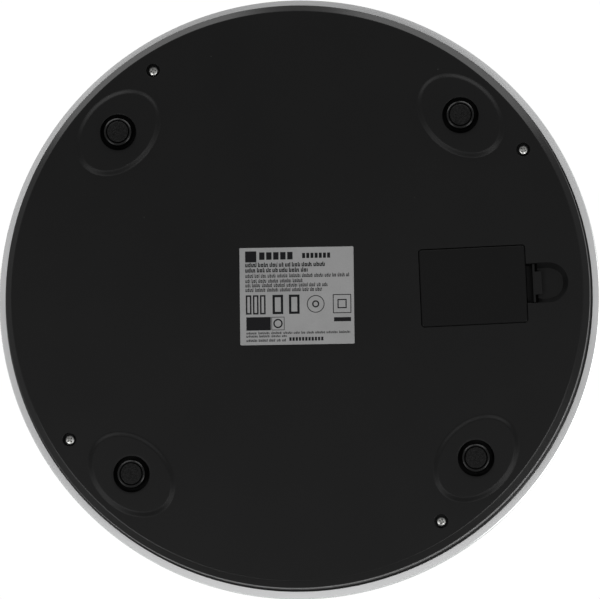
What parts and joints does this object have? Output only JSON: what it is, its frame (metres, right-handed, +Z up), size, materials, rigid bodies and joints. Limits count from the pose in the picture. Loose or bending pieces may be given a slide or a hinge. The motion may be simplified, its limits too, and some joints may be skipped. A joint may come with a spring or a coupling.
{
  "type": "digital kitchen scale",
  "caption": "Flat round glass-topped electronic kitchen scale on load-cell feet, with a snap-in coin-cell door underneath.",
  "frame": {"origin": "centre of the scale, on the surface its feet stand on", "axes": "+Z up through the platform; -Y towards the display and keys, where the user stands; +X towards the battery door"},
  "size_m": [0.22, 0.22, 0.02],
  "materials": {
    "glass": "clear tempered glass, polished edge",
    "silver_film": "satin silver print",
    "adhesive": "matt foam tape",
    "black_plastic": "fine matt texture",
    "grey_plastic": "moulded, satin",
    "key_plastic": "satin silver paint",
    "rubber": "matt, patterned face",
    "zinc_steel": "bright zinc plate",
    "nickel_steel": "bright nickel",
    "stamped_steel": "stamped, satin",
    "white_sealant": "cured silicone",
    "board_green": "solder resist",
    "black_resin": "cast resin",
    "display_glass": "liquid-crystal glass",
    "elastomer": "striped conductive rubber",
    "foil_label": "satin silver foil",
    "wire_white": "insulation",
    "wire_red": "insulation",
    "wire_black": "insulation"
  },
  "bodies": {
    "scale_body": {"glass_platform": "glass", "backing_film": "silver_film", "adhesive_ring": "adhesive", "upper_frame": "grey_plastic", "bottom_cover": "black_plastic", "foot_cup_1": "black_plastic", "foot_pad_1": "rubber", "load_cell_1": "stamped_steel", "load_cell_bracket_1": "grey_plastic", "gauge_seal_1": "white_sealant", "case_screw_1": "zinc_steel", "board_screw_1": "zinc_steel", "foot_cup_2": "black_plastic", "foot_pad_2": "rubber", "load_cell_2": "stamped_steel", "load_cell_bracket_2": "grey_plastic", "gauge_seal_2": "white_sealant", "case_screw_2": "zinc_steel", "board_screw_2": "zinc_steel", "foot_cup_3": "black_plastic", "foot_pad_3": "rubber", "load_cell_3": "stamped_steel", "load_cell_bracket_3": "grey_plastic", "gauge_seal_3": "white_sealant", "case_screw_3": "zinc_steel", "board_screw_3": "zinc_steel", "foot_cup_4": "black_plastic", "foot_pad_4": "rubber", "load_cell_4": "stamped_steel", "load_cell_bracket_4": "grey_plastic", "gauge_seal_4": "white_sealant", "case_screw_4": "zinc_steel", "board_screw_4": "zinc_steel", "circuit_board": "board_green", "controller_chip": "black_resin", "display_module": "display_glass", "display_holder": "grey_plastic", "display_connector": "elastomer", "right_switch": "black_resin", "left_switch": "black_resin", "coin_cell": "nickel_steel", "battery_spring_contact": "nickel_steel", "battery_side_contact": "nickel_steel", "back_right_cell_lead": "wire_white", "back_left_cell_lead": "wire_white", "front_right_cell_lead": "wire_white", "front_left_cell_lead": "wire_white", "battery_black_lead": "wire_black", "battery_red_lead": "wire_red", "rating_label": "foil_label"},
    "battery_door": {"battery_door": "black_plastic"},
    "door_latch": {"door_latch": "black_plastic"},
    "right_key": {"right_key": "key_plastic"},
    "left_key": {"left_key": "key_plastic"}
  },
  "joints": [
    {"name": "door_hinge", "type": "hinge", "parent": "scale_body", "child": "battery_door", "pos_m": [0.0449, 0, 0.003], "axis": [0, 1, 0], "range_deg": [0, 70]},
    {"name": "latch_flex", "type": "hinge", "parent": "battery_door", "child": "door_latch", "pos_m": [0.0849, 0, 0.0078], "axis": [0, 1, 0], "range_deg": [0, 12], "stiffness_Nm_per_rad": 0.05},
    {"name": "right_key_press", "type": "slide", "parent": "scale_body", "child": "right_key", "axis": [0, 0, -1], "range_m": [0, 0.0004], "stiffness_N_per_m": 1500},
    {"name": "left_key_press", "type": "slide", "parent": "scale_body", "child": "left_key", "axis": [0, 0, -1], "range_m": [0, 0.0004], "stiffness_N_per_m": 1500}
  ]
}
